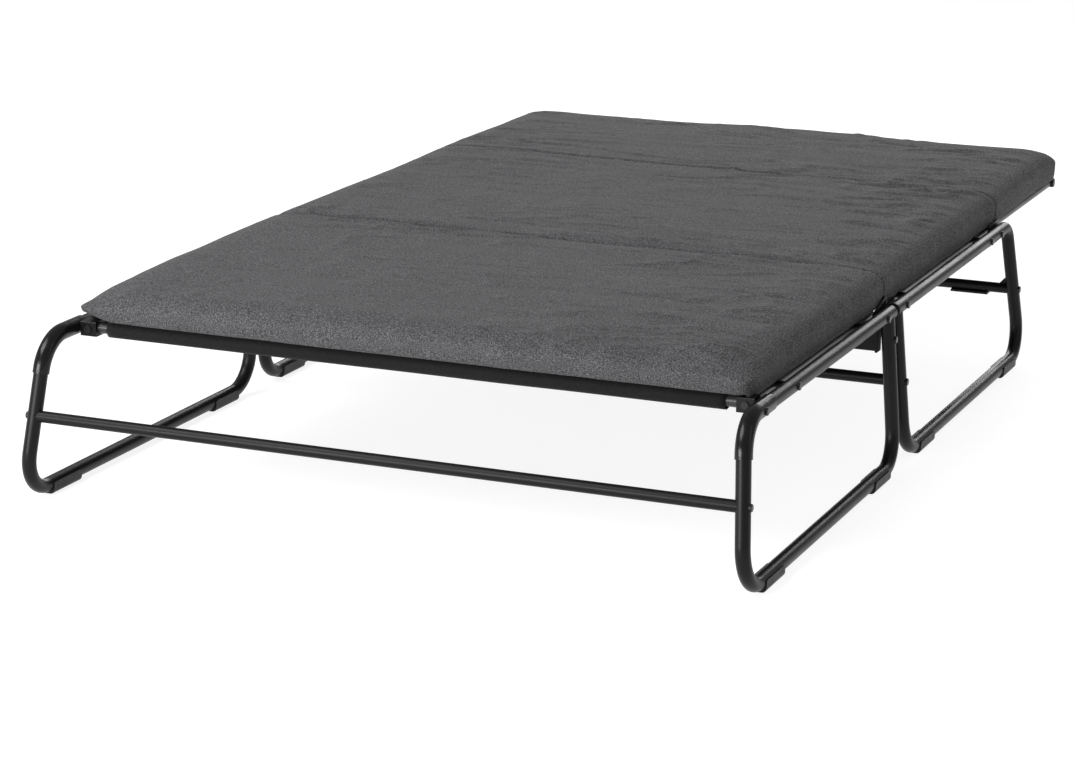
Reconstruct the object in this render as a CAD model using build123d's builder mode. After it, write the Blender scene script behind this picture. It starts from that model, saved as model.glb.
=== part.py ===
from build123d import *

import os
from math import atan2, degrees, hypot, radians, tan

# Folding bed: two hinged side-loop frames, a tilting rear frame, fabric decks and a padded mattress.
# Millimetres, +Z up, +X to the right, +Y from the front of the bed to its rear.
# Lengths along the bed are stated from the front feet and moved by at() to the shared origin,
# which lies on the floor below the middle of the whole bed.

os.makedirs("parts", exist_ok=True)

# ---------------------------------------------------------------- driving dimensions
TUBE_R = 12.5  # side loops
TUBE_WALL = 1.5
BAR_R = 10.0  # crossbars, deck tubes and rear frame
FOOT_X = 643.0  # half spacing of the foot rails
RAIL_X = 621.5  # half spacing of the top rails
FOOT_Z = 16.0
RAIL_Z = 282.2
BEND_R = 62.0
ELBOW_R = 66.0
TIGHT_R = 32.0

FRONT_TOP = 51.0  # front unit, top corner over the front feet
FRONT_BACK_FOOT = 807.0
FRONT_BACK_TOP = 809.0
FRONT_RAIL_END = 827.0
REAR_RAIL_START = 845.0
REAR_FRONT_TOP = 858.0
REAR_FRONT_FOOT = 871.0
REAR_TOP = 1617.0
REAR_BACK_FOOT = 1679.0

SLEEVE_WALL = 2.0  # plastic sleeve over the front elbow
FOLD_Y = 836.0
REST_GAP = 0.4  # left between an elbow sleeve and the rear rail it comes to rest on
FOLD_Z = RAIL_Z + (2 * TUBE_R + SLEEVE_WALL + REST_GAP) / 2
TILT_Y = 1588.0
TILT_Z = RAIL_Z

CROSSBAR_Z = 152.0
BACKBAR_Z = 149.0
SIDE_TUBE_X = 587.0
DECK_Z = RAIL_Z
CLOTH = 1.6
SLEEVE_R = 12.0  # fabric sleeve around a deck tube
FRONT_TUBE_Y = 155.0
FRONT_DECK_BACK = 796.0
REAR_DECK_FRONT = 884.0
REAR_DECK_BACK = 1560.0
BED_END = 2085.0

MATTRESS_X = 600.0
MATTRESS_Z = DECK_Z + SLEEVE_R + 0.8
MATTRESS_H = 60.0
MATTRESS_FRONT = 136.0
SEAM_1 = 838.0
SEAM_2 = 1588.0
MATTRESS_BACK = 2092.0
SEAM_GAP = 1.0

SPLAY = (FOOT_X - RAIL_X) / (RAIL_Z - FOOT_Z)
SLANT = hypot(FOOT_X - RAIL_X, RAIL_Z - FOOT_Z)
SIDES = {"right": 1, "left": -1}
FOOT_REACH = BEND_R * tan(radians(45) + atan2(FRONT_TOP, SLANT) / 2)
MIDDLE = (FOOT_REACH - BEND_R - TUBE_R + BED_END + SLEEVE_R) / 2  # the bed's middle station
RAIL_INNER_X = RAIL_X - TUBE_R


def at(station):
    """A distance from the front feet, as a Y of the shared frame."""
    return station - MIDDLE


def leg_x(z):
    """Half spacing of the splayed legs at a height."""
    return FOOT_X - (z - FOOT_Z) * SPLAY


def leg_station(foot, top, z):
    """Where a leaning leg stands along the bed at a height."""
    return foot + (top - foot) * (z - FOOT_Z) / (RAIL_Z - FOOT_Z)


def loop_plane(side):
    """The splayed plane of one side loop: local x runs along the bed, local y up the slant."""
    out = (RAIL_Z - FOOT_Z) / SLANT
    return Plane(
        origin=(side * FOOT_X, 0, FOOT_Z),
        x_dir=(0, 1, 0),
        z_dir=(out, 0, side * (FOOT_X - RAIL_X) / SLANT),
    )


def save(part, label):
    """Names a finished piece and writes its file."""
    part.label = label
    export_step(part, f"parts/{label}.step")


# ---------------------------------------------------------------- side loops
def tube_path(side, stations, radii):
    """The centre line of a loop: stations are (along, up) corners, radii one for each inner corner."""
    with BuildLine(loop_plane(side)) as path:
        FilletPolyline(*[(at(along), up) for along, up in stations], radius=radii)
    return path


LEG_JOIN = 0.8  # the bent tube is swept this far up its last leg, and a straight length ends it
LEG_SHORT = 4.0  # the straight length stops this far below the rail's centre line


def side_loop(side, stations, radii, top):
    """A bent tube whose last leg runs straight up into the rail that its first corner starts."""
    foot = stations[-1][0]
    joint = (foot + (top - foot) * LEG_JOIN, SLANT * LEG_JOIN)
    path = tube_path(side, [*stations, joint], radii)
    rest_of_leg = hypot(top - foot, SLANT) * (1 - LEG_JOIN) - LEG_SHORT
    start = Plane(origin=path.line @ 0, z_dir=path.line % 0)
    end = Plane(origin=path.line @ 1, z_dir=path.line % 1)
    with BuildPart() as loop:
        for radius, mode in ((TUBE_R, Mode.ADD), (TUBE_R - TUBE_WALL, Mode.SUBTRACT)):
            with BuildSketch(start):
                Circle(radius)
            sweep(path=path.line, mode=mode)
            with BuildSketch(end):
                Circle(radius)
            extrude(amount=rest_of_leg, mode=mode)
    return loop


FRONT_PATH = [(FRONT_RAIL_END, SLANT), (FRONT_TOP, SLANT), (0, 0), (FRONT_BACK_FOOT, 0)]
REAR_PATH = [(REAR_RAIL_START, SLANT), (REAR_TOP, SLANT), (REAR_BACK_FOOT, 0), (REAR_FRONT_FOOT, 0)]


def opposite(part):
    """The same piece on the bed's other side."""
    with BuildPart() as other:
        add(part)
        mirror(about=Plane.YZ, mode=Mode.REPLACE)
    return other


front_loop = side_loop(SIDES["right"], FRONT_PATH, (ELBOW_R, BEND_R, BEND_R), FRONT_BACK_TOP)
save(front_loop.part, "front_loop_right")
save(opposite(front_loop.part).part, "front_loop_left")
rear_loop = side_loop(SIDES["left"], REAR_PATH, (TIGHT_R, BEND_R, BEND_R), REAR_FRONT_TOP)
save(rear_loop.part, "rear_loop_left")
save(opposite(rear_loop.part).part, "rear_loop_right")


PLUG_FLANGE = 2.5
PLUG_STEM = 14.0
PLUG_ROUND = 2.0


def rail_plug(side, station, outward):
    """A cap in a rail's open end; outward is +1 or -1 along the bed."""
    with BuildPart() as plug:
        with BuildSketch(Plane((side * RAIL_X, at(station), RAIL_Z), z_dir=(0, outward, 0))):
            Circle(TUBE_R)
        extrude(amount=PLUG_FLANGE)
        rims = plug.edges().group_by(SortBy.LENGTH)[-1].sort_by(Axis.Y)
        fillet(rims[-1 if outward > 0 else 0], PLUG_ROUND)
        with BuildSketch(Plane((side * RAIL_X, at(station), RAIL_Z), z_dir=(0, -outward, 0))):
            Circle(TUBE_R - TUBE_WALL)
        extrude(amount=PLUG_STEM)
    return plug


for name, side in SIDES.items():
    front_plug = rail_plug(side, FRONT_RAIL_END, 1)
    save(front_plug.part, f"front_rail_plug_{name}")
    rear_plug = rail_plug(side, REAR_RAIL_START, -1)
    save(rear_plug.part, f"rear_rail_plug_{name}")


# ---------------------------------------------------------------- elbow sleeves
SLEEVE_DOWN = 5.0  # past the bend, down the front leg
SLEEVE_ALONG = 62.0  # past the bend, along the rail


def elbow_sleeve(side):
    """A plastic sleeve over the front top bend and a short way along the rail."""
    reach = ELBOW_R * tan(radians(45) - atan2(FRONT_TOP, SLANT) / 2)
    lean = hypot(FRONT_TOP, SLANT)
    down = (reach + SLEEVE_DOWN) / lean
    stations = [
        (FRONT_TOP + reach + SLEEVE_ALONG, SLANT),
        (FRONT_TOP, SLANT),
        (FRONT_TOP * (1 - down), SLANT * (1 - down)),
    ]
    path = tube_path(side, stations, ELBOW_R)
    start = Plane(origin=path.line @ 0, z_dir=path.line % 0)
    with BuildPart() as sleeve:
        with BuildSketch(start):
            Circle(TUBE_R + SLEEVE_WALL)
        sweep(path=path.line)
        with BuildSketch(start):
            Circle(TUBE_R)
        sweep(path=path.line, mode=Mode.SUBTRACT)
    return sleeve


for name, side in SIDES.items():
    sleeve = elbow_sleeve(side)
    save(sleeve.part, f"elbow_sleeve_{name}")


# ---------------------------------------------------------------- glides under the foot rails
GLIDE_L = 90.0
GLIDE_WALL = 1.8
GLIDE_TOP = FOOT_Z + 5.0
GLIDE_END_R = 7.0
GLIDE_SIDE_R = 9.0


def glide(side, start):
    """A U-shaped clip under a foot rail, from one station towards the rear."""
    half = TUBE_R + GLIDE_WALL
    with BuildPart() as clip:
        with Locations((side * FOOT_X, at(start + GLIDE_L / 2), 0)):
            Box(2 * half, GLIDE_L, GLIDE_TOP, align=(Align.CENTER, Align.CENTER, Align.MIN))
        fillet(clip.edges().filter_by(Axis.X).group_by(Axis.Z)[-1], GLIDE_END_R)
        fillet(clip.edges().filter_by(Axis.Y).group_by(Axis.Z)[0], GLIDE_SIDE_R)
        with BuildSketch(Plane((side * FOOT_X, at(start), FOOT_Z), z_dir=(0, 1, 0))):
            Circle(TUBE_R)
        extrude(amount=GLIDE_L, mode=Mode.SUBTRACT)
        with Locations((side * FOOT_X, at(start + GLIDE_L / 2), FOOT_Z)):
            Box(
                2 * TUBE_R,
                GLIDE_L,
                TUBE_R,
                align=(Align.CENTER, Align.CENTER, Align.MIN),
                mode=Mode.SUBTRACT,
            )
    return clip


def bend_reach(lean):
    """How far a foot bend runs along the floor; lean is the leg's tilt over its own rail."""
    return BEND_R * tan(radians(45) + atan2(lean, SLANT) / 2)


GLIDE_STARTS = {
    "front_glide_a": bend_reach(FRONT_TOP) + 1,
    "front_glide_b": FRONT_BACK_FOOT - bend_reach(FRONT_BACK_FOOT - FRONT_BACK_TOP) - GLIDE_L - 1,
    "rear_glide_a": REAR_FRONT_FOOT + bend_reach(REAR_FRONT_TOP - REAR_FRONT_FOOT) + 1,
    "rear_glide_b": REAR_BACK_FOOT - bend_reach(REAR_BACK_FOOT - REAR_TOP) - GLIDE_L - 1,
}
for label, start in GLIDE_STARTS.items():
    for name, side in SIDES.items():
        clip = glide(side, start)
        save(clip.part, f"{label}_{name}")


# ---------------------------------------------------------------- crossbars
def leg_room(side, foot, top):
    """The solid round a leaning leg fills, for coping other pieces to it."""
    low = Vector(side * FOOT_X, at(foot), FOOT_Z)
    high = Vector(side * RAIL_X, at(top), RAIL_Z)
    with BuildPart() as room:
        with BuildSketch(Plane(origin=low, z_dir=high - low)):
            Circle(TUBE_R)
        extrude(amount=(high - low).length)
    return room.part


def crossbar(foot, top, z):
    """A round bar between two legs, coped to them."""
    half = leg_x(z)
    station = leg_station(foot, top, z)
    with BuildPart() as bar:
        with BuildSketch(Plane((-half, at(station), z), z_dir=(1, 0, 0))):
            Circle(BAR_R)
        extrude(amount=2 * half)
        for side in SIDES.values():
            add(leg_room(side, foot, top), mode=Mode.SUBTRACT)
    return bar


back_bar_y = leg_station(REAR_BACK_FOOT, REAR_TOP, BACKBAR_Z)
front_crossbar = crossbar(0, FRONT_TOP, CROSSBAR_Z)
save(front_crossbar.part, "front_crossbar")
middle_crossbar = crossbar(REAR_FRONT_FOOT, REAR_FRONT_TOP, BACKBAR_Z)
save(middle_crossbar.part, "middle_crossbar")
back_crossbar = crossbar(REAR_BACK_FOOT, REAR_TOP, BACKBAR_Z)
save(back_crossbar.part, "back_crossbar")

GUSSET = 14.0  # a small corner web over the bar
GUSSET_T = 3.0
PAD_L = 75.0  # a flat pad welded under the bar
PAD_T = 4.0
PAD_W = 22.0
PAD_IN = 36.0  # from the leg
for name, side in SIDES.items():
    tip = leg_x(BACKBAR_Z) - TUBE_R - 1
    bar_top = BACKBAR_Z + BAR_R
    with BuildPart() as gusset:
        web_plane = Plane((0, at(back_bar_y) + GUSSET_T / 2, 0), x_dir=(1, 0, 0), z_dir=(0, -1, 0))
        with BuildSketch(web_plane):
            with BuildLine():
                Polyline(
                    (side * tip, bar_top),
                    (side * (tip - SPLAY * GUSSET), bar_top + GUSSET),
                    (side * (tip - GUSSET), bar_top),
                    close=True,
                )
            make_face()
        extrude(amount=GUSSET_T)
        pad_x = side * (tip - PAD_IN - PAD_L / 2)
        with Locations((pad_x, at(back_bar_y), BACKBAR_Z - BAR_R - PAD_T / 2)):
            Box(PAD_L, PAD_W, PAD_T)
    save(gusset.part, f"back_gusset_{name}")

STRUT_H = 46.0  # flat box strut between the front unit's rear legs
STRUT_T = 18.0
STRUT_Z = 238.0
STRUT_ROUND = 5.0
STRUT_PLATE_T = 4.0  # its end plates
STRUT_PLATE_W = 24.0
STRUT_PLATE_H = 60.0
STRUT_PLATE_Z = 244.0
with BuildPart() as front_strut:
    strut_y = leg_station(FRONT_BACK_FOOT, FRONT_BACK_TOP, STRUT_Z)
    strut_half = RAIL_INNER_X - 1
    with Locations((0, at(strut_y), STRUT_Z)):
        Box(2 * strut_half, STRUT_T, STRUT_H)
    fillet(front_strut.edges().filter_by(Axis.X), STRUT_ROUND)
    plate_x = strut_half - STRUT_PLATE_T / 2
    with Locations(*[(side * plate_x, at(strut_y), STRUT_PLATE_Z) for side in SIDES.values()]):
        Box(STRUT_PLATE_T, STRUT_PLATE_W, STRUT_PLATE_H)
save(front_strut.part, "front_strut")


# ---------------------------------------------------------------- deck tubes
def cross_tube(station, half):
    """A deck tube across the bed."""
    with BuildPart() as tube:
        with BuildSketch(Plane((-half, at(station), DECK_Z), z_dir=(1, 0, 0))):
            Circle(BAR_R)
        extrude(amount=2 * half)
    return tube


SIDE_END = SIDE_TUBE_X - BAR_R
front_deck_tube = cross_tube(FRONT_TUBE_Y, SIDE_END)
save(front_deck_tube.part, "front_deck_tube")
front_back_tube = cross_tube(FRONT_DECK_BACK, SIDE_END)
save(front_back_tube.part, "front_deck_back_tube")
rear_deck_tube = cross_tube(REAR_DECK_FRONT, SIDE_END)
save(rear_deck_tube.part, "rear_deck_tube")
rear_back_tube = cross_tube(REAR_DECK_BACK, SIDE_END)
save(rear_back_tube.part, "rear_deck_back_tube")

BRACKET_H = 26.0
BRACKET_Y = 30.0
BRACKET_ROUND = 2.0
BRACKET_END = RAIL_INNER_X - SLEEVE_WALL
LUG = 12.0
LUG_STATIONS = (281.0, 700.0, 960.0, 1462.0)


def side_tube(side, start, end, lugs):
    """A deck side tube, with short lugs out to the rail beside it."""
    with BuildPart() as tube:
        with BuildSketch(Plane((side * SIDE_TUBE_X, at(start), DECK_Z), z_dir=(0, 1, 0))):
            Circle(BAR_R)
        extrude(amount=end - start)
        for lug in lugs:
            with BuildSketch(Plane((side * SIDE_TUBE_X, at(lug), DECK_Z), z_dir=(side, 0, 0))):
                Circle(LUG / 2)
            extrude(amount=RAIL_X - SIDE_TUBE_X)
        with BuildSketch(Plane((side * RAIL_X, at(start), RAIL_Z), z_dir=(0, 1, 0))):
            Circle(TUBE_R)
        extrude(amount=end - start, mode=Mode.SUBTRACT)
    return tube


RAIL_BOLTS = (281.0, 776.0, 893.0, 1462.0, 1537.0)
for name, side in SIDES.items():
    front_side = side_tube(
        side, FRONT_TUBE_Y + BRACKET_Y / 2, FRONT_DECK_BACK + BAR_R, LUG_STATIONS[:2]
    )
    save(front_side.part, f"front_side_tube_{name}")
    rear_side = side_tube(
        side, REAR_DECK_FRONT - BAR_R, REAR_DECK_BACK + BAR_R, LUG_STATIONS[2:]
    )
    save(rear_side.part, f"rear_side_tube_{name}")

for name, side in SIDES.items():
    with BuildPart() as bracket:
        centre_x = side * (SIDE_END + BRACKET_END) / 2
        with Locations((centre_x, at(FRONT_TUBE_Y), DECK_Z + SLEEVE_R - BRACKET_H / 2)):
            Box(BRACKET_END - SIDE_END, BRACKET_Y, BRACKET_H)
        fillet(bracket.edges().filter_by(Axis.X), BRACKET_ROUND)
    save(bracket.part, f"deck_bracket_{name}")


# ---------------------------------------------------------------- fabric decks
SLEEVE_HALF = 557.0
DECK_HALF = SIDE_END - 2
TUBE_FIT = 0.3


def deck_cloth(front, back):
    """Cloth stretched over the deck tubes, hemmed as a sleeve around the front and back ones."""
    top = DECK_Z + SLEEVE_R
    with BuildPart() as cloth:
        with Locations((0, at((front + back) / 2), top - CLOTH / 2)):
            Box(2 * DECK_HALF, back - front, CLOTH)
        for station in (front, back):
            with BuildSketch(Plane((-SLEEVE_HALF, at(station), DECK_Z), z_dir=(1, 0, 0))):
                Circle(SLEEVE_R)
            extrude(amount=2 * SLEEVE_HALF)
        for station in (front, back):
            with BuildSketch(Plane((-DECK_HALF, at(station), DECK_Z), z_dir=(1, 0, 0))):
                Circle(BAR_R + TUBE_FIT)
            extrude(amount=2 * DECK_HALF, mode=Mode.SUBTRACT)
    return cloth


front_deck = deck_cloth(FRONT_TUBE_Y, FRONT_DECK_BACK)
save(front_deck.part, "front_deck")
rear_deck = deck_cloth(REAR_DECK_FRONT, REAR_DECK_BACK)
save(rear_deck.part, "rear_deck")


# ---------------------------------------------------------------- fold hinge
PLATE_T = 2.6
PLATE_R = 11.0
PLATE_GAP = 0.3
PIN_R = 4.0
RUNNING_FIT = 0.05
HEAD_R = 7.0
HEAD_T = 2.0
OUTER_PLATE_X = RAIL_INNER_X - PLATE_T
INNER_PLATE_X = OUTER_PLATE_X - PLATE_GAP - PLATE_T


def hinge_plate(side, station, inner_x, bore_r):
    """A flat link from the rail beside it to the fold pivot."""
    angle = degrees(atan2(FOLD_Z - RAIL_Z, FOLD_Y - station))
    length = hypot(FOLD_Z - RAIL_Z, FOLD_Y - station)
    start = inner_x if side > 0 else -inner_x - PLATE_T
    with BuildPart() as plate:
        with BuildSketch(Plane((start, 0, 0), x_dir=(0, 1, 0), z_dir=(1, 0, 0))):
            with Locations(Location(((at(station) + at(FOLD_Y)) / 2, (RAIL_Z + FOLD_Z) / 2), angle)):
                SlotCenterToCenter(length, 2 * PLATE_R)
            with Locations((at(FOLD_Y), FOLD_Z)):
                Circle(bore_r, mode=Mode.SUBTRACT)
        extrude(amount=PLATE_T)
    return plate


for name, side in SIDES.items():
    moving_plate = hinge_plate(side, RAIL_BOLTS[1], OUTER_PLATE_X, PIN_R + RUNNING_FIT)
    save(moving_plate.part, f"fold_plate_front_{name}")
    fixed_plate = hinge_plate(side, RAIL_BOLTS[2], INNER_PLATE_X, PIN_R)
    save(fixed_plate.part, f"fold_plate_rear_{name}")
    with BuildPart() as fold_pin:
        with BuildSketch(Plane((side * INNER_PLATE_X, at(FOLD_Y), FOLD_Z), z_dir=(side, 0, 0))):
            Circle(PIN_R)
        extrude(amount=RAIL_INNER_X - INNER_PLATE_X + HEAD_T)
        with BuildSketch(Plane((side * INNER_PLATE_X, at(FOLD_Y), FOLD_Z), z_dir=(-side, 0, 0))):
            Circle(HEAD_R)
        extrude(amount=HEAD_T)
    save(fold_pin.part, f"fold_pin_{name}")


# ---------------------------------------------------------------- tilting rear frame
EYE_R = BAR_R
TILT_PIN_R = 5.0
TILT_PLATE_H = 44.0
TILT_PLATE_ROUND = 8.0
TILT_PLATE_DROP = 6.0  # its middle below the pivot
TILT_PLATE_FRONT = 1528.0
TILT_PLATE_BACK = 1606.0
for name, side in SIDES.items():
    with BuildPart() as tilt_plate:
        with Locations(
            (
                side * (RAIL_INNER_X - PLATE_T / 2),
                at((TILT_PLATE_FRONT + TILT_PLATE_BACK) / 2),
                TILT_Z - TILT_PLATE_DROP,
            )
        ):
            Box(PLATE_T, TILT_PLATE_BACK - TILT_PLATE_FRONT, TILT_PLATE_H)
        fillet(tilt_plate.edges().filter_by(Axis.X), TILT_PLATE_ROUND)
    save(tilt_plate.part, f"tilt_plate_{name}")
    with BuildPart() as tilt_pin:
        pin_start = SIDE_TUBE_X - BAR_R
        with BuildSketch(Plane((side * pin_start, at(TILT_Y), TILT_Z), z_dir=(side, 0, 0))):
            Circle(TILT_PIN_R)
        extrude(amount=RAIL_INNER_X - PLATE_T - pin_start)
        with BuildSketch(Plane((side * pin_start, at(TILT_Y), TILT_Z), z_dir=(-side, 0, 0))):
            Circle(HEAD_R)
        extrude(amount=HEAD_T)
    save(tilt_pin.part, f"tilt_pin_{name}")
    with BuildPart() as tilt_arm:
        with BuildSketch(Plane((side * SIDE_TUBE_X, at(TILT_Y), TILT_Z), z_dir=(0, 1, 0))):
            Circle(BAR_R)
        extrude(amount=BED_END - TILT_Y)
        with BuildSketch(Plane((side * SIDE_TUBE_X, at(TILT_Y), TILT_Z), z_dir=(1, 0, 0))):
            Circle(EYE_R)
        extrude(amount=BAR_R - 1, both=True)
        with BuildSketch(Plane((side * SIDE_TUBE_X, at(TILT_Y), TILT_Z), z_dir=(1, 0, 0))):
            Circle(TILT_PIN_R + RUNNING_FIT)
        extrude(amount=2 * BAR_R, both=True, mode=Mode.SUBTRACT)
    save(tilt_arm.part, f"tilt_arm_{name}")

END_OVERHANG = 4.0
END_ROUND = 3.0
END_HALF = SIDE_TUBE_X + BAR_R + END_OVERHANG
with BuildPart() as end_tube:
    with BuildSketch(Plane((-END_HALF, at(BED_END), TILT_Z), z_dir=(1, 0, 0))):
        Circle(BAR_R)
    extrude(amount=2 * END_HALF)
    fillet(end_tube.edges().filter_by(GeomType.CIRCLE), END_ROUND)
    for side in SIDES.values():
        with BuildSketch(Plane((side * SIDE_TUBE_X, at(TILT_Y), TILT_Z), z_dir=(0, 1, 0))):
            Circle(BAR_R)
        extrude(amount=BED_END - TILT_Y, mode=Mode.SUBTRACT)
save(end_tube.part, "end_tube")

TILT_TUBE_BACK = 34.0  # the rear frame's cross tube behind the pivot
TILT_DECK_FRONT = TILT_Y + TILT_TUBE_BACK
tilt_cross_tube = cross_tube(TILT_DECK_FRONT, SIDE_END)
save(tilt_cross_tube.part, "tilt_cross_tube")
tilt_deck = deck_cloth(TILT_DECK_FRONT, BED_END)
save(tilt_deck.part, "tilt_deck")


# ---------------------------------------------------------------- mattress
EDGE_R = 22.0


def cushion(front, back):
    """One boxed section of the mattress."""
    with BuildPart() as pad:
        with Locations((0, at((front + back) / 2), MATTRESS_Z)):
            Box(
                2 * MATTRESS_X,
                back - front,
                MATTRESS_H,
                align=(Align.CENTER, Align.CENTER, Align.MIN),
            )
        fillet(pad.edges().filter_by(Axis.Z), EDGE_R)
        fillet(pad.faces().sort_by(Axis.Z)[-1].edges(), EDGE_R)
    return pad


mattress_front = cushion(MATTRESS_FRONT, SEAM_1 - SEAM_GAP / 2)
save(mattress_front.part, "mattress_front")
mattress_middle = cushion(SEAM_1 + SEAM_GAP / 2, SEAM_2 - SEAM_GAP / 2)
save(mattress_middle.part, "mattress_middle")
mattress_rear = cushion(SEAM_2 + SEAM_GAP / 2, MATTRESS_BACK)
save(mattress_rear.part, "mattress_rear")


# ---------------------------------------------------------------- bolts
BOLT_R = 6.5
BOLT_H = 3.0
ELBOW_BOLT = 116.0


def bolts_on_rail(station, lift):
    """A pair of heads on the rails."""
    with BuildPart() as heads:
        for side in SIDES.values():
            with BuildSketch(Plane((side * RAIL_X, at(station), RAIL_Z), z_dir=(side, 0, 0))):
                Circle(BOLT_R)
            extrude(amount=TUBE_R + lift + BOLT_H)
        outer = heads.faces().filter_by(Axis.X).sort_by(Axis.X)
        fillet((outer[0].edges() + outer[-1].edges()), BOLT_H / 2)
        for side in SIDES.values():
            with BuildSketch(Plane((side * RAIL_X, at(station) - BOLT_R - 1, RAIL_Z), z_dir=(0, 1, 0))):
                Circle(TUBE_R + lift)
            extrude(amount=2 * BOLT_R + 2, mode=Mode.SUBTRACT)
    return heads


def bolts_on_leg(foot, top, z):
    """A pair of heads on two facing legs."""
    station = leg_station(foot, top, z)
    with BuildPart() as heads:
        for side in SIDES.values():
            with BuildSketch(Plane((side * leg_x(z), at(station), z), z_dir=(side, 0, 0))):
                Circle(BOLT_R)
            extrude(amount=TUBE_R + BOLT_H)
        outer = heads.faces().filter_by(Axis.X).sort_by(Axis.X)
        fillet((outer[0].edges() + outer[-1].edges()), BOLT_H / 2)
        for side in SIDES.values():
            add(leg_room(side, foot, top), mode=Mode.SUBTRACT)
    return heads


with BuildPart() as front_bolts:
    add(bolts_on_rail(ELBOW_BOLT, SLEEVE_WALL).part)
    add(bolts_on_rail(RAIL_BOLTS[0], 0).part)
    add(bolts_on_rail(RAIL_BOLTS[1], 0).part)
    add(bolts_on_leg(0, FRONT_TOP, CROSSBAR_Z).part)
    add(bolts_on_leg(FRONT_BACK_FOOT, FRONT_BACK_TOP, STRUT_Z).part)
    for side in SIDES.values():
        bracket_x = side * (SIDE_END + BRACKET_END) / 2
        face = Plane((bracket_x, at(FRONT_TUBE_Y - BRACKET_Y / 2), DECK_Z - 1), z_dir=(0, -1, 0))
        with BuildSketch(face):
            Circle(BOLT_R)
        extrude(amount=BOLT_H)
save(front_bolts.part, "front_bolts")

with BuildPart() as rear_bolts:
    add(bolts_on_rail(RAIL_BOLTS[2], 0).part)
    add(bolts_on_rail(RAIL_BOLTS[3], 0).part)
    add(bolts_on_rail(RAIL_BOLTS[4], 0).part)
    add(bolts_on_leg(REAR_FRONT_FOOT, REAR_FRONT_TOP, BACKBAR_Z).part)
    add(bolts_on_leg(REAR_BACK_FOOT, REAR_TOP, BACKBAR_Z).part)
save(rear_bolts.part, "rear_bolts")
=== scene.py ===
"""The look of the folding bed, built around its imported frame.

Metres, +Z up, the frame's own axes: X across the bed, Y from the foot end to the cantilevered rear end.
"""

import math

import bmesh
import bpy
import numpy as np
from mathutils import Matrix, Vector


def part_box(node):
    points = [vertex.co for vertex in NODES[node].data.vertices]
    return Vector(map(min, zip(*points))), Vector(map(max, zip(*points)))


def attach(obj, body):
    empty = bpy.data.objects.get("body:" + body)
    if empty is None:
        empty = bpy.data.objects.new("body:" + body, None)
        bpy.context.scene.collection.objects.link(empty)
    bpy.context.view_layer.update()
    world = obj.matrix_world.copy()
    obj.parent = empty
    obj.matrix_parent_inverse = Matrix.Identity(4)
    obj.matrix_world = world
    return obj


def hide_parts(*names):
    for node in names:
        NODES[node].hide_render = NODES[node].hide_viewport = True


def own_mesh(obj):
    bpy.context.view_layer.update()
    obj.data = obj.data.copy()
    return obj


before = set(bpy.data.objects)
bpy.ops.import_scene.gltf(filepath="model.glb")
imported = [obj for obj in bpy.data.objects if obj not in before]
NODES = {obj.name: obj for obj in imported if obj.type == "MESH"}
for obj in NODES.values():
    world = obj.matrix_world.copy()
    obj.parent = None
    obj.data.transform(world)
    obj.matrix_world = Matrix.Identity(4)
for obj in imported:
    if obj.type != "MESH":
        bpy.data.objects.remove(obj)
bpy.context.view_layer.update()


# ---------------------------------------------------------------- node helpers
def new_material(name):
    """A material with an empty node tree but for the shader and the output."""
    mat = bpy.data.materials.new(name)
    mat.use_nodes = True
    tree = mat.node_tree
    shader = tree.nodes["Principled BSDF"]
    return mat, tree, shader


def node(tree, kind, **inputs):
    """A shader node with some inputs set: a number, a colour, or another node's output."""
    made = tree.nodes.new(kind)
    for key, value in inputs.items():
        socket = made.inputs[key.replace("_", " ")]
        if isinstance(value, bpy.types.NodeSocket):
            tree.links.new(value, socket)
        else:
            socket.default_value = value
    return made


def coordinates(tree, scale=(1, 1, 1)):
    """Object coordinates, stretched."""
    place = node(tree, "ShaderNodeTexCoord")
    mapping = node(tree, "ShaderNodeMapping", Vector=place.outputs["Object"])
    mapping.inputs["Scale"].default_value = scale
    return mapping.outputs["Vector"]


def noise(tree, vector, scale, detail=2.0, rough=0.5):
    """A noise texture's value."""
    made = node(tree, "ShaderNodeTexNoise", Vector=vector, Scale=scale, Detail=detail, Roughness=rough)
    return made.outputs["Fac"]


def ramp(tree, value, stops):
    """A colour ramp: stops are (position, grey or colour)."""
    made = tree.nodes.new("ShaderNodeValToRGB")
    tree.links.new(value, made.inputs["Fac"])
    elements = made.color_ramp.elements
    while len(elements) < len(stops):
        elements.new(0.5)
    for element, (position, colour) in zip(elements, stops):
        element.position = position
        if not isinstance(colour, tuple):
            colour = (colour, colour, colour)
        element.color = (*colour, 1.0)
    return made.outputs["Color"]


def math_node(tree, operation, a, b=0.0):
    """A Math node's value. SINE takes only the first number."""
    made = tree.nodes.new("ShaderNodeMath")
    made.operation = operation
    for socket, value in zip(made.inputs, (a, b)):
        if isinstance(value, bpy.types.NodeSocket):
            tree.links.new(value, socket)
        else:
            socket.default_value = value
    return made.outputs["Value"]


# a Mix node's sockets have the same names for every data type, so the colour ones go by number
MIX_FACTOR, MIX_A, MIX_B, MIX_RESULT = 0, 6, 7, 2


def mix(tree, kind, factor, a, b):
    """A colour mix."""
    made = tree.nodes.new("ShaderNodeMix")
    made.data_type = "RGBA"
    made.blend_type = kind
    for number, value in ((MIX_FACTOR, factor), (MIX_A, a), (MIX_B, b)):
        socket = made.inputs[number]
        if isinstance(value, bpy.types.NodeSocket):
            tree.links.new(value, socket)
        elif isinstance(value, tuple):
            socket.default_value = (*value, 1.0)
        else:
            socket.default_value = value
    return made.outputs[MIX_RESULT]


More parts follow.
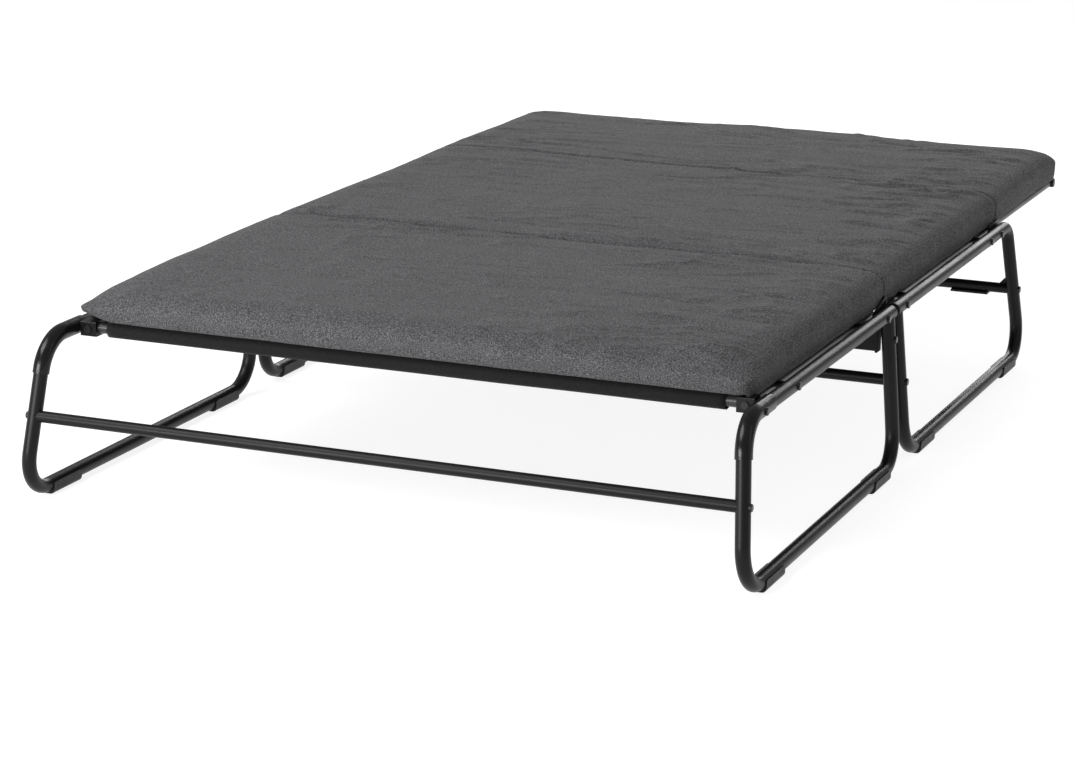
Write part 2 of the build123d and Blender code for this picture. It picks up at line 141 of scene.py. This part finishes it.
def bump(tree, height, strength, distance, below=None):
    """A bump normal, stacked on another one if given."""
    made = node(tree, "ShaderNodeBump", Height=height, Strength=strength, Distance=distance)
    if below is not None:
        tree.links.new(below, made.inputs["Normal"])
    return made.outputs["Normal"]


# ---------------------------------------------------------------- materials
# noise scales below are in features per metre; bump depths are in metres
COAT_CLOUD = 9.0
COAT_SPECK = 420.0
COAT_RUB = 34.0
COAT_PEEL = 260.0
COAT_TONES = (0.82, 1.25)  # darkest and lightest patches, as shares of the coat's grey
RUBBED_TONE = 2.4  # a rubbed spot, as a share of the coat's grey
RUBBED_SHARE = 0.35
PEEL_DEPTH = 0.0006
FINE_DEPTH = 0.0002  # specks, plastic grain and threads


def powder_coat(name, grey, rough, gloss_level, peel=0.06):
    """Sprayed metal: fine orange peel, slight changes of tone and gloss, and paler rubbed spots."""
    mat, tree, shader = new_material(name)
    vector = coordinates(tree)
    cloud = noise(tree, vector, COAT_CLOUD, 3.0)
    speck = noise(tree, vector, COAT_SPECK, 2.0)
    tone = ramp(tree, cloud, [(0.3, grey * COAT_TONES[0]), (0.7, grey * COAT_TONES[1])])
    worn = ramp(tree, noise(tree, vector, COAT_RUB, 4.0, 0.65), [(0.66, 0.0), (0.74, 1.0)])
    rubbed = math_node(tree, "MULTIPLY", worn, RUBBED_SHARE)
    colour = mix(tree, "MIX", rubbed, tone, (grey * RUBBED_TONE,) * 3)
    tree.links.new(colour, shader.inputs["Base Color"])
    shader.inputs["Specular IOR Level"].default_value = gloss_level
    gloss = ramp(tree, cloud, [(0.25, rough - 0.05), (0.75, rough + 0.06)])
    tree.links.new(gloss, shader.inputs["Roughness"])
    peel_height = noise(tree, vector, COAT_PEEL, 2.0)
    normal = bump(tree, peel_height, peel, PEEL_DEPTH)
    normal = bump(tree, speck, peel * 0.5, FINE_DEPTH, normal)
    tree.links.new(normal, shader.inputs["Normal"])
    return mat


PLASTIC_SCUFF = 60.0
PLASTIC_PITS = 1400.0
PLASTIC_TONES = (0.85, 1.35)
PLASTIC_GLOSS_LEVEL = 0.25


def moulded_plastic(name, grey, rough, grain):
    """Moulded plastic with a fine grain and scuffs."""
    mat, tree, shader = new_material(name)
    vector = coordinates(tree)
    scuff = noise(tree, vector, PLASTIC_SCUFF, 5.0, 0.6)
    tone = ramp(tree, scuff, [(0.3, grey * PLASTIC_TONES[0]), (0.72, grey * PLASTIC_TONES[1])])
    tree.links.new(tone, shader.inputs["Base Color"])
    shader.inputs["Specular IOR Level"].default_value = PLASTIC_GLOSS_LEVEL
    gloss = ramp(tree, scuff, [(0.3, rough - 0.05), (0.7, rough + 0.1)])
    tree.links.new(gloss, shader.inputs["Roughness"])
    pits = node(tree, "ShaderNodeTexVoronoi", Vector=vector, Scale=PLASTIC_PITS)
    normal = bump(tree, pits.outputs["Distance"], grain, FINE_DEPTH)
    tree.links.new(normal, shader.inputs["Normal"])
    return mat


def plain_weave(tree, vector, pitch):
    """Height of a plain weave: threads over and under along X and Y, and half as high a rib along Z."""
    parts = node(tree, "ShaderNodeSeparateXYZ", Vector=vector)
    turns = 2 * math.pi / pitch
    waves = []
    for axis in "XYZ":
        angle = math_node(tree, "MULTIPLY", parts.outputs[axis], turns)
        waves.append(math_node(tree, "SINE", angle))
    warp, weft, up = waves
    crossing = math_node(tree, "MULTIPLY", warp, weft)
    return math_node(tree, "ADD", crossing, math_node(tree, "MULTIPLY", up, 0.5))


FLECK_STRETCH = (0.8, 0.42, 0.9)  # the flecks are drawn out along the bed
FLECK = 560.0
FINE_GRAIN = 900.0
BLOTCH = 26.0
# the cover's dark, middle and pale yarns, each from its share of the fleck noise up
YARNS = [
    (0.36, (0.022, 0.022, 0.023)),
    (0.5, (0.058, 0.058, 0.060)),
    (0.64, (0.140, 0.140, 0.144)),
]
FINE_GRAIN_SHARE = 0.8
CLOTH_GLOSS_LEVEL = 0.12
BLOOM_TINT = (0.6, 0.6, 0.62, 1.0)
COVER_PITCH = 0.0016  # a thread and its gap, in the cover and in the decks
DECK_PITCH = 0.0014
FLECK_DEPTH = 0.0003


def mattress_cloth():
    """Dark grey melange cover: yarn flecks in three greys, a weave and a soft bloom."""
    mat, tree, shader = new_material("mattress_cover_cloth")
    vector = coordinates(tree)
    drawn = coordinates(tree, FLECK_STRETCH)
    fleck = noise(tree, drawn, FLECK, 3.0, 0.8)
    fine = noise(tree, vector, FINE_GRAIN, 2.0, 0.6)
    blotch = noise(tree, drawn, BLOTCH, 4.0, 0.6)
    tone = ramp(tree, fleck, YARNS)
    grain = ramp(tree, fine, [(0.32, 0.55), (0.68, 1.45)])
    colour = mix(tree, "MULTIPLY", FINE_GRAIN_SHARE, tone, grain)
    cloud = ramp(tree, blotch, [(0.3, 0.94), (0.7, 1.06)])
    colour = mix(tree, "MULTIPLY", 1.0, colour, cloud)
    tree.links.new(colour, shader.inputs["Base Color"])
    shader.inputs["Roughness"].default_value = 0.95
    shader.inputs["Specular IOR Level"].default_value = CLOTH_GLOSS_LEVEL
    shader.inputs["Sheen Weight"].default_value = 0.08
    shader.inputs["Sheen Roughness"].default_value = 0.5
    shader.inputs["Sheen Tint"].default_value = BLOOM_TINT
    weave = plain_weave(tree, vector, COVER_PITCH)
    normal = bump(tree, weave, 0.25, FINE_DEPTH)
    normal = bump(tree, fleck, 0.14, FLECK_DEPTH, normal)
    tree.links.new(normal, shader.inputs["Normal"])
    return mat


DECK_FLECK = 700.0
SLUB_STRETCH = (0.2, 1.0, 1.0)  # thick threads that run across the bed
SLUB = 40.0
SLUB_DEPTH = 0.002
DECK_GREYS = [(0.3, 0.003), (0.7, 0.014)]


def black_cloth():
    """Tightly woven black deck cloth, with thicker threads across it here and there."""
    mat, tree, shader = new_material("deck_black_cloth")
    vector = coordinates(tree)
    fleck = noise(tree, vector, DECK_FLECK, 3.0, 0.6)
    tone = ramp(tree, fleck, DECK_GREYS)
    tree.links.new(tone, shader.inputs["Base Color"])
    shader.inputs["Roughness"].default_value = 0.8
    shader.inputs["Specular IOR Level"].default_value = CLOTH_GLOSS_LEVEL
    shader.inputs["Sheen Weight"].default_value = 0.05
    shader.inputs["Sheen Roughness"].default_value = 0.4
    weave = plain_weave(tree, vector, DECK_PITCH)
    normal = bump(tree, weave, 0.4, FINE_DEPTH)
    slub = noise(tree, coordinates(tree, SLUB_STRETCH), SLUB, 3.0)
    normal = bump(tree, slub, 0.25, SLUB_DEPTH, normal)
    tree.links.new(normal, shader.inputs["Normal"])
    return mat


# name, grey, roughness, specular level and, where it differs, the strength of the orange peel
COAT = powder_coat("black_powder_coat", 0.006, 0.34, 0.17)
CROSS_COAT = powder_coat("bar_powder_coat", 0.005, 0.4, 0.16)
# a paler, glossier copy of the frame's black coat, for the front deck tube's exposed ends
PALE_TUBE_COAT = powder_coat("paler_tube_end", 0.022, 0.34, 0.35)
FIXING = powder_coat("blackened_fixing", 0.01, 0.3, 0.3, 0.05)
# name, grey, roughness and the strength of the grain
GLOSS = moulded_plastic("gloss_elbow_plastic", 0.005, 0.2, 0.02)
MATT = moulded_plastic("matt_glide_plastic", 0.007, 0.45, 0.15)
COVER = mattress_cloth()
CLOTH = black_cloth()


def paint(name, material):
    """Gives a CAD node its material."""
    o = NODES[name]
    o.data.materials.clear()
    o.data.materials.append(material)


for name in NODES:
    if "glide" in name or "plug" in name:
        paint(name, MATT)
    elif name.startswith("elbow"):
        paint(name, GLOSS)
    elif "bolts" in name or "pin" in name:
        paint(name, FIXING)
    elif "crossbar" in name or "gusset" in name or "strut" in name:
        paint(name, CROSS_COAT)
    elif name == "front_deck_tube":
        paint(name, PALE_TUBE_COAT)
    else:
        paint(name, COAT)


# ---------------------------------------------------------------- mattress
NOISE_CELLS = 256  # the noise repeats after this many cells


def fade_curve(value):
    """A step from 0 to 1 with no jump in slope or curvature, for blending noise cells."""
    return value * value * value * (value * (value * 6 - 15) + 10)


def smooth_noise(x, y, seed, wave_x, wave_y, turn=0.0):
    """Smooth noise over the cloth, from -1 to 1. wave_x and wave_y are its feature sizes in metres."""
    rng = np.random.default_rng(seed)
    c, s = math.cos(turn), math.sin(turn)
    u = (x * c + y * s) / wave_x
    v = (-x * s + y * c) / wave_y
    grid = rng.uniform(-1, 1, (NOISE_CELLS, NOISE_CELLS))
    i = np.floor(u).astype(int)
    j = np.floor(v).astype(int)
    fu = fade_curve(u - i)
    fv = fade_curve(v - j)
    i, next_i = i % NOISE_CELLS, (i + 1) % NOISE_CELLS
    j, next_j = j % NOISE_CELLS, (j + 1) % NOISE_CELLS
    near = grid[i, j] * (1 - fu) + grid[next_i, j] * fu
    far = grid[i, next_j] * (1 - fu) + grid[next_i, next_j] * fu
    return near * (1 - fv) + far * fv


def layered_noise(x, y, layers):
    """Several smooth noises added up. A layer is its height, seed, two feature sizes and turn, if any."""
    return sum(height * smooth_noise(x, y, *shape) for height, *shape in layers)


def grid_box(counts):
    """A closed box of quads from -1 to 1 with that many cells along each axis."""
    bm = bmesh.new()
    index = {}

    def corner(i, j, k):
        key = (i, j, k)
        if key not in index:
            index[key] = bm.verts.new([2 * n / c - 1 for n, c in zip(key, counts)])
        return index[key]

    # two opposite sides at a time, as (level along the axis, whether its corners run backwards)
    top_and_foot = (2, ((counts[2], False), (0, True)))
    front_and_back = (1, ((0, False), (counts[1], True)))
    left_and_right = (0, ((0, True), (counts[0], False)))
    for axis, sides in (top_and_foot, front_and_back, left_and_right):
        one, two = [n for n in range(3) if n != axis]
        for a in range(counts[one]):
            for b in range(counts[two]):
                for level, backwards in sides:
                    ring = []
                    for da, db in ((0, 0), (1, 0), (1, 1), (0, 1)):
                        key = [level, level, level]
                        key[one] = a + da
                        key[two] = b + db
                        ring.append(key)
                    if backwards:
                        ring = ring[:1] + ring[:0:-1]
                    bm.faces.new([corner(*key) for key in ring])
    mesh = bpy.data.meshes.new("section")
    bm.to_mesh(mesh)
    bm.free()
    return mesh


def ease(value):
    """A smooth step from 0 to 1."""
    t = np.clip(value, 0, 1)
    return t * t * (3 - 2 * t)


# Sizes of the cover, in metres. An end is an open "edge" or a join: the "crease" at the fold or the "seam".
SIDE_ROUND = 0.023
JOIN_ROUND = {"edge": 0.023, "crease": 0.0085, "seam": 0.0050}
SIDE_JOIN_ROUND = 0.0025  # a join is rounded this little where it meets the sides
SIDE_JOIN_FROM = 0.035  # from this far in from the side a join's rounding tightens ...
SIDE_JOIN_REACH = 0.03  # ... over this distance
FOOT_ROUND = 0.009  # the lower edges
CELL = 0.0056
CELLS_HIGH = 10


def rounded_box(half, front_round, back_round, co):
    """Wraps a -1..1 box onto a slab whose edges are rounded, each end by its own radius."""
    p = co * half
    at_side = ease((np.abs(p[:, 0]) - half[0] + SIDE_JOIN_FROM) / SIDE_JOIN_REACH)
    end_radii = []
    for end_round in (front_round, back_round):
        side_round = SIDE_JOIN_ROUND if end_round < SIDE_ROUND else SIDE_ROUND
        end_radii.append(end_round + (side_round - end_round) * at_side)
    radius = np.full_like(p, SIDE_ROUND)
    radius[:, 1] = np.where(p[:, 1] < 0, end_radii[0], end_radii[1])
    radius[:, 2] = np.where(p[:, 2] < 0, FOOT_ROUND, SIDE_ROUND)
    core = np.clip(p, radius - half, half - radius)
    out = (p - core) / radius
    length = np.linalg.norm(out, axis=1)
    reach = np.abs(out).max(axis=1)
    on = length > 1e-9
    out[on] = out[on] / length[on, None] * reach[on, None]
    return core + out * radius


FADE_SIZE = (0.15, 0.07)
FADE_FROM, FADE_TO = -0.25, 0.55  # the noise value at which a line starts to show, and at which it is whole


def creases(x, y, seed, wave_x, wave_y, turn, width):
    """Thin raised lines that wander across the cloth and fade in and out."""
    wander = layered_noise(x, y, ((0.030, seed + 1, 0.30, 0.22), (0.012, seed + 2, 0.12, 0.10)))
    line = smooth_noise(x, y + wander, seed, wave_x, wave_y, turn)
    shown = smooth_noise(x, y, seed + 3, *FADE_SIZE, turn)
    fade = ease((shown - FADE_FROM) / (FADE_TO - FADE_FROM))
    return np.exp(-((line / width) ** 2)) * fade


SIDE_FALL = (0.075, 0.006)  # the top falls over this distance towards the sides, by this much
SIDE_FALL_CURVE, END_FALL_CURVE = 1.5, 1.6
# the same towards each kind of end
FALL = {"edge": (0.060, 0.007), "crease": (0.030, 0.0034), "seam": (0.016, 0.0008)}
FALL_UNEVEN = ((0.45, 71, 0.22, 1.0),)  # how an end's fall varies across the bed
# the crease is as deep as FALL says at the left and a quarter of that at the right
CREASE_MIDDLE, CREASE_SLANT = 0.62, 0.38
FRONT_ROLL = (0.30, 0.010)  # reach and drop of the broad roll towards the open front
FRONT_ROLL_SIDE = 0.35  # the roll is full at the sides and less in the middle, from this far in
FRONT_ROLL_LEAST = 0.45
# share, seed, feature sizes across and along the bed, turn and width of each set of raised lines
LINES = (
    (1.0, 101, 0.26, 0.060, 0.10, 0.13),
    (1.0, 111, 0.20, 0.048, -0.14, 0.14),
    (0.8, 121, 0.16, 0.036, 0.22, 0.16),
    (0.6, 131, 0.30, 0.030, 0.02, 0.18),
)
LINE_HEIGHT = 0.0038
RIPPLES = ((1.0, 11, 0.28, 0.038, 0.06), (0.6, 12, 0.15, 0.022, -0.10))
RIPPLE_HEIGHT = 0.0014
# the wrinkles' strength in the middle, and what is added at the sides and at the ends
WRINKLE_MIDDLE, WRINKLE_AT_SIDE, WRINKLE_AT_END = 0.55, 0.4, 0.45
WRINKLE_EVEN, WRINKLE_RIGHTWARD = 0.82, 0.16
WRINKLE_KEEP = (0.006, 0.045)  # how far in from the sides wrinkles start, and the distance they grow over
WRINKLE_SIDE = 0.45  # they are stronger within this of the sides ...
WRINKLE_JOIN = 0.24  # ... and within this of an end
FOAM = ((0.0020, 41, 0.45, 0.30),)
WAVER = ((0.0018, 51, 0.09, 0.09), (0.0010, 52, 0.035, 0.035))
WANDER = ((0.0030, 61, 0.24, 1.0), (0.0012, 62, 0.07, 1.0))
# shares of half the thickness, from the slab's middle height up, between which two effects grow from nothing
TOP_EFFECT = (-0.4, 1.0)
LIP_EFFECT = (-0.1, -1.0)
BORDER = 0.03  # the sides and ends bulge and waver over this width
SIDE_BULGE = 0.003
EDGE_BULGE = 0.006
JOIN_PRESS = 0.0006  # a join's two sides stand this far past their sections, and press together
LIP = 0.012  # how far the cover's lower edge hangs beside the deck
LIP_WIDTH = 0.012
LIP_REACH = 0.010
FRONT_LIP_SHARE = 0.3
TIP_LEVEL = -0.25  # the height of the front corners' point, as a share of half the thickness
PINCH_REACH = (0.09, 0.06)  # of the front corners, above and below the point
RIGHT_PINCH = 0.4  # the right corner's pinch above the point; the left one's is full
PINCH_FLAT = 0.75
PINCH_OUT = 0.008


def crown_drop(x, half, side_gap, front_gap, back_gap, ends):
    """How far the top lies below a flat slab's: full over the middle, falling away to each edge."""
    reach, depth = SIDE_FALL
    drop = depth * (1 - ease(side_gap / reach)) ** SIDE_FALL_CURVE
    for gap, end in ((front_gap, ends[0]), (back_gap, ends[1])):
        reach, depth = FALL[end]
        depth = depth * (1 + layered_noise(x, x * 0, FALL_UNEVEN))
        if end == "crease":
            depth = depth * (CREASE_MIDDLE - CREASE_SLANT * x / half[0])
        drop = drop + depth * (1 - ease(gap / reach)) ** END_FALL_CURVE
    if ends[0] == "edge":
        reach, depth = FRONT_ROLL
        roll = depth * (1 - ease(front_gap / reach))
        sideward = 1 - ease(side_gap / FRONT_ROLL_SIDE)
        drop = drop + roll * (FRONT_ROLL_LEAST + (1 - FRONT_ROLL_LEAST) * sideward)
    return drop


def wrinkle_height(x, along, half, side_gap, end_gap):
    """Ripples drawn across the bed, stronger towards the sides, the ends and the right."""
    near_side = 1 - ease(side_gap / WRINKLE_SIDE)
    near_end = 1 - ease(end_gap / WRINKLE_JOIN)
    strength = WRINKLE_MIDDLE + WRINKLE_AT_SIDE * near_side + WRINKLE_AT_END * near_end
    rightward = WRINKLE_EVEN + WRINKLE_RIGHTWARD * x / half[0]
    lines = sum(share * creases(x, along, *shape) for share, *shape in LINES)
    ripple = layered_noise(x, along, RIPPLES)
    start, full = WRINKLE_KEEP
    keep = ease((side_gap - start) / full)
    return keep * strength * rightward * (LINE_HEIGHT * lines + RIPPLE_HEIGHT * ripple)


def section(cad_node, ends):
    """One section of the mattress, shaped on its CAD box. ends are the kinds of its front and back end."""
    low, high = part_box(cad_node)
    size = high - low
    mesh = grid_box([round(size.x / CELL), round(size.y / CELL), CELLS_HIGH])
    co = np.empty(len(mesh.vertices) * 3)
    mesh.vertices.foreach_get("co", co)
    half = np.array(size) / 2
    middle = np.array(low + high) / 2
    p = rounded_box(half, JOIN_ROUND[ends[0]], JOIN_ROUND[ends[1]], co.reshape(-1, 3))
    x = p[:, 0].copy()
    y = p[:, 1].copy()
    level = p[:, 2] / half[2]
    along = y + middle[1]
    upper = ease((level - TOP_EFFECT[0]) / (TOP_EFFECT[1] - TOP_EFFECT[0]))
    side_gap = half[0] - np.abs(x)
    front_gap = y + half[1]
    back_gap = half[1] - y
    open_front = ends[0] == "edge"
    open_back = ends[1] == "edge"
    p[:, 2] -= crown_drop(x, half, side_gap, front_gap, back_gap, ends) * upper
    p[:, 2] += upper * wrinkle_height(x, along, half, side_gap, np.minimum(front_gap, back_gap))
    # broad, soft unevenness of the foam
    p[:, 2] += upper * layered_noise(x, along, FOAM)
    # the sides bulge a little between top and bottom and waver along the bed
    belly = np.clip(1 - level**2, 0, 1)
    at_side = 1 - ease(side_gap / BORDER)
    waver = layered_noise(x, along, WAVER)
    p[:, 0] += np.sign(x) * at_side * (SIDE_BULGE * belly + waver)
    # a join wanders across the bed, the same way on both its sides; an open edge bulges and wavers
    wander = layered_noise(x, x * 0, WANDER)
    for gap, is_open, sign in ((front_gap, open_front, -1), (back_gap, open_back, 1)):
        near = 1 - ease(gap / BORDER)
        if is_open:
            p[:, 1] += sign * near * (EDGE_BULGE * belly + waver)
        else:
            p[:, 1] += near * (wander + sign * JOIN_PRESS)
    # the cover's lower edge hangs down beside the deck, and less at the open front
    low_down = ease((level - LIP_EFFECT[0]) / (LIP_EFFECT[1] - LIP_EFFECT[0]))
    hang = ease((np.abs(x) - half[0] + LIP_WIDTH) / LIP_REACH) * low_down
    if open_front:
        hang = np.maximum(hang, FRONT_LIP_SHARE * ease((LIP_WIDTH - front_gap) / LIP_REACH) * low_down)
    p[:, 2] -= LIP * hang
    # the front corners pinch, the left one to a point
    if open_front:
        tip = half[2] * TIP_LEVEL
        over = p[:, 2] > tip
        sharp = np.where(x < 0, 1.0, np.where(over, RIGHT_PINCH, 0.0))
        reach = np.where(over, *PINCH_REACH)
        pinch = sharp * (1 - ease(side_gap / reach)) * (1 - ease(front_gap / reach))
        p[:, 2] = tip + (p[:, 2] - tip) * (1 - PINCH_FLAT * pinch)
        p[:, 0] += np.sign(x) * PINCH_OUT * pinch
    p += middle
    mesh.vertices.foreach_set("co", p.ravel())
    mesh.polygons.foreach_set("use_smooth", [True] * len(mesh.polygons))
    mesh.update()
    piece = bpy.data.objects.new(cad_node + "_cover", mesh)
    bpy.context.scene.collection.objects.link(piece)
    mesh.materials.append(COVER)
    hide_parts(cad_node)
    return piece


front_section = section("mattress_front", ("edge", "crease"))
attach(front_section, "mattress_foot")
middle_section = section("mattress_middle", ("crease", "seam"))
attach(middle_section, "mattress_seat")
rear_section = section("mattress_rear", ("seam", "edge"))
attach(rear_section, "backrest")


def shorten(piece):
    """Gives a section its own copy of its mesh."""
    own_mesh(piece)


shorten(rear_section)
shorten(middle_section)
shorten(front_section)


# ---------------------------------------------------------------- fabric decks
HEM_LAP = 0.030  # the hem's tail lies this far along the underside
TAIL_BEND = 0.45  # the tail turns up at this share of it ...
TAIL_LIFT = 0.004  # ... by this much
CLOTH_T = 0.0012
HEM_SLACK = 1.18  # the hem hangs this many radii below its tube's axis
TUBE_CLEAR = 0.0022  # cloth to tube
HEM_STEPS = 20
TOP_STEPS = 60
STEPS_ACROSS = 90
SIDE_INSET = 0.018  # the cloth ends this far in from the CAD deck's sides
SAG = 0.0028
SAG_SIDE_LOSS = 0.4  # the share of the sag that is lost at the sides
DECK_RIPPLES = ((1.0, 81, 0.05, 0.5), (0.6, 82, 0.021, 0.4))
DECK_RIPPLE_MOST = 1.6  # as high as the ripples can add up to
DECK_RIPPLE_HEIGHT = 0.0004
TOP_MARGIN = 0.002  # points within this of the top belong to it
HEM_WAVER = 0.0008
HEM_NOISE = ((0.5, 83, 0.16, 0.02),)
HEM_MARGIN = 1.02


def hem_z(angle, radius):
    """Height of the hem over its tube's axis: it hangs slack below the tube."""
    rise = math.sin(angle)
    return radius * rise * (HEM_SLACK if rise < 0 else 1.0)


def deck_profile(front, back, height, radius):
    """(y, z) points of the cloth, from one hem's tail round its tube, along the top and round the other."""
    inside = height + hem_z(-math.pi / 2, radius) + CLOTH_T
    lap = HEM_LAP * TAIL_BEND
    points = [(front + HEM_LAP, inside + TAIL_LIFT), (front + lap, inside)]
    for n in range(HEM_STEPS + 1):
        angle = -math.pi / 2 - math.pi * n / HEM_STEPS
        points.append((front + radius * math.cos(angle), height + hem_z(angle, radius)))
    for n in range(1, TOP_STEPS):
        points.append((front + (back - front) * n / TOP_STEPS, height + radius))
    for n in range(HEM_STEPS + 1):
        angle = math.pi / 2 - math.pi * n / HEM_STEPS
        points.append((back + radius * math.cos(angle), height + hem_z(angle, radius)))
    points += [(back - lap, inside), (back - HEM_LAP, inside + TAIL_LIFT)]
    return points


def deck(cad_node, front_tube, back_tube, body):
    """A deck cloth stretched from tube to tube, hemmed round both."""
    ends = []
    for tube in (front_tube, back_tube):
        low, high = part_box(tube)
        ends.append(((low.y + high.y) / 2, (low.z + high.z) / 2, (high.z - low.z) / 2))
    front, height, tube_r = ends[0]
    back = ends[1][0]
    low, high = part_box(cad_node)
    half = high.x - SIDE_INSET
    radius = tube_r + TUBE_CLEAR
    points = deck_profile(front, back, height, radius)
    rows = []
    for i in range(STEPS_ACROSS + 1):
        x = half * (2 * i / STEPS_ACROSS - 1)
        rows += [(x, y, z) for y, z in points]
    co = np.array(rows)
    along = (co[:, 1] - front) / (back - front)
    span = np.clip(along, 0, 1) * np.clip(1 - along, 0, 1) * 4
    top = co[:, 2] > height + radius - TOP_MARGIN
    side = (co[:, 0] / half) ** 2
    co[:, 2] -= np.where(top, SAG * span * (1 - SAG_SIDE_LOSS * side), 0)
    # the ripples only ever dip below the stretched cloth
    dip = layered_noise(co[:, 0], co[:, 1], DECK_RIPPLES) + DECK_RIPPLE_MOST
    co[:, 2] += np.where(top, -DECK_RIPPLE_HEIGHT * dip * np.sqrt(span), 0)
    # the hems waver away from their tubes
    slack = layered_noise(co[:, 0], co[:, 2], HEM_NOISE) + 0.5
    away = np.stack([co[:, 1] - np.where(along < 0.5, front, back), co[:, 2] - height], 1)
    hem = (np.hypot(away[:, 0], away[:, 1]) < radius * HEM_SLACK * HEM_MARGIN) & ~top
    co[:, 1:] += np.where(hem[:, None], away / radius * HEM_WAVER * slack[:, None], 0)
    count = len(points)
    faces = []
    for i in range(STEPS_ACROSS):
        for j in range(count - 1):
            a = i * count + j
            faces.append((a, a + 1, a + 1 + count, a + count))
    mesh = bpy.data.meshes.new(cad_node + "_cloth")
    mesh.from_pydata([tuple(row) for row in co], [], faces)
    mesh.polygons.foreach_set("use_smooth", [True] * len(faces))
    mesh.materials.append(CLOTH)
    piece = bpy.data.objects.new(cad_node + "_cloth", mesh)
    bpy.context.scene.collection.objects.link(piece)
    solid = piece.modifiers.new("thickness", "SOLIDIFY")
    solid.thickness = CLOTH_T
    solid.offset = 0.0
    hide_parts(cad_node)
    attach(piece, body)
    return piece


deck("front_deck", "front_deck_tube", "front_deck_back_tube", "front_unit")
deck("rear_deck", "rear_deck_tube", "rear_deck_back_tube", "rear_unit")
deck("tilt_deck", "tilt_cross_tube", "end_tube", "backrest")


# ---------------------------------------------------------------- studio
def plane(name, corners, material):
    """A flat quad."""
    mesh = bpy.data.meshes.new(name)
    mesh.from_pydata(corners, [], [(0, 1, 2, 3)])
    mesh.materials.append(material)
    made = bpy.data.objects.new(name, mesh)
    bpy.context.scene.collection.objects.link(made)
    return made


FLOOR_GREY = 0.3
FLOOR_GLOW = 0.86  # so the floor reads as white and takes only a faint shadow
FLOOR_REACH = 30.0
ROOM_LIGHT = 0.36

floor_mat, _, floor_shader = new_material("pale_floor")
floor_shader.inputs["Base Color"].default_value = (FLOOR_GREY, FLOOR_GREY, FLOOR_GREY, 1)
floor_shader.inputs["Roughness"].default_value = 0.9
floor_shader.inputs["Specular IOR Level"].default_value = 0.1
floor_shader.inputs["Emission Color"].default_value = (1, 1, 1, 1)
floor_shader.inputs["Emission Strength"].default_value = FLOOR_GLOW
floor_corners = []
for right_side, far_side in ((-1, -1), (1, -1), (1, 1), (-1, 1)):
    floor_corners.append((right_side * FLOOR_REACH, far_side * FLOOR_REACH, 0))
floor = plane("floor", floor_corners, floor_mat)

world = bpy.data.worlds.new("studio")
bpy.context.scene.world = world
world.use_nodes = True
background = world.node_tree.nodes["Background"]
background.inputs["Color"].default_value = (1, 1, 1, 1)
background.inputs["Strength"].default_value = ROOM_LIGHT


def area_light(name, place, target, size, power):
    """A soft box aimed at a point."""
    light = bpy.data.lights.new(name, "AREA")
    light.shape = "RECTANGLE"
    light.size, light.size_y = size
    light.energy = power
    made = bpy.data.objects.new(name, light)
    made.location = place
    made.rotation_euler = (Vector(target) - Vector(place)).to_track_quat("-Z", "Y").to_euler()
    bpy.context.scene.collection.objects.link(made)


# name, place, aim, width and height, and watts
area_light("key", (-2.2, -2.6, 3.6), (0, 0, 0.3), (3.0, 2.0), 155)
area_light("front", (-1.6, -4.6, 0.95), (0, -0.6, 0.3), (2.6, 1.0), 165)
area_light("right", (4.2, -0.6, 1.9), (0.4, 0, 0.25), (1.2, 2.6), 8)
area_light("back", (-0.6, 4.6, 1.7), (0, 0, 0.3), (4.0, 1.6), 110)

# ---------------------------------------------------------------- camera
# fitted to the photo's straight tubes; angles in radians, turned left, down and about the line of sight
YAW, PITCH, ROLL = 0.3975, 0.2608, -0.008
PLACE = Vector((2.1501, -5.4619, 1.5995))
FOCAL_MM = 106.64
SENSOR_MM = 36.0
FAR_CLIP = 200.0
ahead = math.cos(PITCH)
forward = Vector((-math.sin(YAW) * ahead, math.cos(YAW) * ahead, -math.sin(PITCH)))
level = Vector((math.cos(YAW), math.sin(YAW), 0))
down = forward.cross(level)
right = math.cos(ROLL) * level + math.sin(ROLL) * down
down = -math.sin(ROLL) * level + math.cos(ROLL) * down
lens = bpy.data.cameras.new("camera")
lens.sensor_width = SENSOR_MM
lens.lens = FOCAL_MM
lens.clip_end = FAR_CLIP
camera = bpy.data.objects.new("camera", lens)
turn = Matrix((right, -down, -forward)).transposed()
camera.matrix_world = Matrix.Translation(PLACE) @ turn.to_4x4()
bpy.context.scene.collection.objects.link(camera)
bpy.context.scene.camera = camera
bpy.context.scene.view_settings.view_transform = "Standard"
